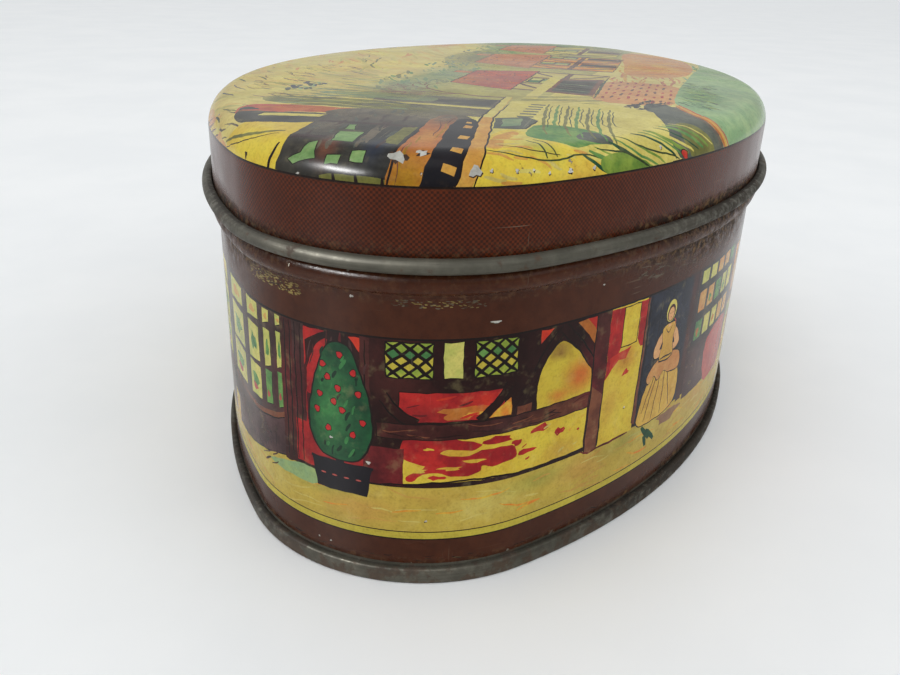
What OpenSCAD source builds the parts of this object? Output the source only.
// Oval slip-lid tin: a printed tinplate body with a lock side seam, a bottom end held
// by a double seam, and a drawn lid that slides down over the body's neck.
// Millimetres, +Z up, standing on Z = 0, with the long axis along X.

/* [Body] */
// Length of the body wall over its outside
body_length = 166; // [160:6:178]
// Width of the body wall over its outside
body_width = 100; // [94:6:106]
// Height of the open mouth above the table
mouth_height = 57; // [56.4:0.1:57]
// Thickness of the tinplate
sheet = 0.3; // [0.25:0.01:0.3]

/* [Stop bead] */
// Height of the middle of the bead that the lid comes down to
bead_height = 44.8; // [43:0.1:44.8]
// Distance that the bead stands out from the wall
bead_proud = 1.2; // [0.8:0.1:1.2]
// Height of the bead over its two edges
bead_span = 3.2; // [2.8:0.1:3.4]

/* [Bottom end] */
// Height of the double seam around the foot
seam_height = 2.4; // [2.2:0.1:2.6]
// Height of the bottom panel's underside above the table
panel_height = 3.2; // [2.8:0.1:4]

/* [Lid] */
// Height of the middle of the lid's rolled edge
curl_height = 47.4; // [47.4:0.1:48.4]
// Radius of the rolled edge's section
curl_radius = 1; // [0.9:0.05:1]
// Height of the top of the lid's rounded shoulder
shoulder_height = 60.6; // [60.6:0.1:62]
// Radius of the lid's rounded shoulder
shoulder_radius = 4.6; // [4:0.1:4.6]
// Rise of the lid's crown above its shoulder
crown_rise = 0.9; // [0.5:0.1:1.4]

/* [Hidden] */
$fn = 180;

PRINTED_STEEL = "#7a3b28";
PLAIN_TIN = "#a9a596";

// The oval is four arcs, two ends and two sides, that share a tangent where they meet.
// The line through an end's centre and a side's centre is the long side of a
// 20-21-29 triangle, so every centre and radius is an exact number.
half_width = body_width / 2;
unit = (body_length - body_width) / 24;
end_offset = 20 * unit;
side_offset = 21 * unit;
side_radius = half_width + side_offset;
end_radius = side_radius - 29 * unit;
end_angle = atan2(21, 20);
reach = 8 * unit;                         // makes the wedges longer than the oval

// In every outline X is the distance out from the body wall's outer face.
inner_face = -sheet;

// Double seam, from the body wall outwards: end hook, body hook, seaming wall
seam_gap = 0.05;                          // room between the layers
end_hook = seam_gap;                      // inner side of each layer
body_hook = end_hook + sheet + seam_gap;
seam_wall = body_hook + sheet + seam_gap;
chuck_wall = inner_face - seam_gap - sheet;
seam_out = seam_wall + sheet;             // outside of the seam
hook_foot = sheet + seam_gap;             // underside of the body's flange
flange_top = hook_foot + sheet;
hook_play = 0.3;                          // room past the free edge of each hook
body_hook_top = seam_height - sheet - hook_play;
end_hook_foot = flange_top + hook_play;
corner = 0.3;                             // rounding of the bends

// Bead: an arc of this radius that stands out through the wall's face
bead_radius = (bead_span ^ 2 / 4 + bead_proud ^ 2) / (2 * bead_proud);
bead_centre = bead_proud - bead_radius;

// Hem: the mouth's edge, folded in and down
hem_length = 4;
hem_gap = 0.1;
fold_radius = sheet + hem_gap / 2;
fold_height = mouth_height - fold_radius;

// Lid
skirt_gap = 0.3;                          // free of the neck all round
skirt_out = skirt_gap + sheet;
curl_centre = skirt_gap + curl_radius;
curl_end = 125;                           // angle where the roll stops short of the skirt
shoulder_centre = [skirt_out - shoulder_radius, shoulder_height - shoulder_radius];
crown_inset = end_radius - 8;             // run of the crown in from the shoulder
crown_radius = (crown_inset ^ 2 + crown_rise ^ 2) / (2 * crown_rise);
crown_angle = asin(crown_inset / crown_radius);
crown_edge = shoulder_centre[0] - crown_inset;
crown_top = shoulder_height + crown_rise;

// A middle panel runs this far into the rim that is swept round it
panel_lap = 0.8;

// Lock side seam: the folded joint of the body strip, on the inside at +Y
lock_width = 3.4;
lock_depth = 0.5;
lock_foot = panel_height + 1.5;
lock_top = bead_height - bead_span;

// Points on an arc about a centre, from angle a0 to a1
function arc(centre, r, a0, a1, steps) = [
    for (i = [0 : steps])
        let (a = a0 + (a1 - a0) * i / steps)
            [centre[0] + r * cos(a), centre[1] + r * sin(a)]
];

// The oval's outline, grown outwards by a distance
function oval(grow) = concat(
    arc([end_offset, 0], end_radius + grow, -end_angle, end_angle, 16),
    arc([0, -side_offset], side_radius + grow, end_angle, 180 - end_angle, 16),
    arc([-end_offset, 0], end_radius + grow, 180 - end_angle, 180 + end_angle, 16),
    arc([0, side_offset], side_radius + grow, 180 + end_angle, 360 - end_angle, 16)
);

// Carries one closed outline round the oval: each arc is a ring, cut by its wedge
module sweep(outline) {
    for (way = [-1, 1]) {
        intersection() {
            translate([way * end_offset, 0, 0]) ring(end_radius, outline);
            wedge([[way * end_offset, 0],
                   [way * (end_offset + 20 * reach), -21 * reach],
                   [way * (end_offset + 20 * reach), 21 * reach]]);
        }
        intersection() {
            translate([0, -way * side_offset, 0]) ring(side_radius, outline);
            wedge([[0, -way * side_offset],
                   [20 * reach, way * (21 * reach - side_offset)],
                   [-20 * reach, way * (21 * reach - side_offset)]]);
        }
    }
}

// Full ring of an outline whose X = 0 lies at this radius
module ring(radius, outline) {
    rotate_extrude()
        translate([radius, 0])
            polygon(outline);
}

// Upright wedge, taller than the tin
module wedge(corners) {
    translate([0, 0, -1])
        linear_extrude(crown_top + 2)
            polygon(corners);
}

// Flat middle of a bottom or a lid
module panel(grow, z) {
    translate([0, 0, z])
        linear_extrude(sheet)
            polygon(oval(grow));
}

// Printed strip: flange and hook at the foot, stop bead, neck and folded mouth
module body_wall() {
    outline = concat(
        arc([0, flange_top], sheet, 180, 270, 4),
        arc([body_hook + sheet - corner, hook_foot + corner], corner, 270, 360, 4),
        [[body_hook + sheet, body_hook_top], [body_hook, body_hook_top],
         [body_hook, flange_top], [0, flange_top]],
        bead_arc(bead_radius, 0, 1),
        arc([-fold_radius, fold_height], fold_radius, 0, 180, 10),
        [[-2 * fold_radius, mouth_height - hem_length],
         [sheet - 2 * fold_radius, mouth_height - hem_length]],
        arc([-fold_radius, fold_height], hem_gap / 2, 180, 0, 4),
        bead_arc(bead_radius - sheet, inner_face, -1)
    );
    color(PRINTED_STEEL) {
        sweep(outline);
        translate([-lock_width / 2, half_width - sheet - lock_depth, lock_foot])
            cube([lock_width, lock_depth + sheet / 2, lock_top - lock_foot]);
    }
}

// The bead's arc, upwards or downwards, where it stands out through a face
function bead_arc(r, face, way) =
    let (a = acos((face - bead_centre) / r))
        arc([bead_centre, bead_height], r, -way * a, way * a, 12);

// Plain tinplate bottom: sunk panel, chuck wall and the outside of the double seam
module bottom_end() {
    panel_edge = chuck_wall - 6;
    outline = concat(
        [[panel_edge, panel_height], [chuck_wall, panel_height]],
        arc([chuck_wall + corner, corner], corner, 180, 270, 4),
        arc([seam_out - corner, corner], corner, 270, 360, 4),
        arc([seam_out - corner, seam_height - corner], corner, 0, 90, 4),
        [[end_hook, seam_height], [end_hook, end_hook_foot],
         [end_hook + sheet, end_hook_foot],
         [end_hook + sheet, seam_height - sheet], [seam_wall, seam_height - sheet],
         [seam_wall, sheet], [chuck_wall + sheet, sheet],
         [chuck_wall + sheet, panel_height + sheet - corner],
         [chuck_wall + sheet - corner, panel_height + sheet],
         [panel_edge, panel_height + sheet]]
    );
    color(PLAIN_TIN) {
        sweep(outline);
        panel(panel_edge + panel_lap, panel_height);
    }
}

// Drawn lid: crowned top, rounded shoulder, skirt, and an edge rolled outwards
module lid() {
    panel_edge = crown_edge - 2;
    crown_centre = [crown_edge, crown_top - crown_radius];
    outline = concat(
        [[panel_edge, crown_top - sheet]],
        arc(crown_centre, crown_radius - sheet, 90, 90 - crown_angle, 6),
        arc(shoulder_centre, shoulder_radius - sheet, 84, 0, 8),
        arc([curl_centre, curl_height], curl_radius, 180, 360 + curl_end, 24),
        arc([curl_centre, curl_height], curl_radius - sheet, 360 + curl_end, 190, 20),
        arc(shoulder_centre, shoulder_radius, 0, 84, 8),
        arc(crown_centre, crown_radius, 90 - crown_angle, 90, 6),
        [[panel_edge, crown_top]]
    );
    color(PRINTED_STEEL) {
        sweep(outline);
        panel(panel_edge + panel_lap, crown_top - sheet);
    }
}

body_wall();
bottom_end();
lid();
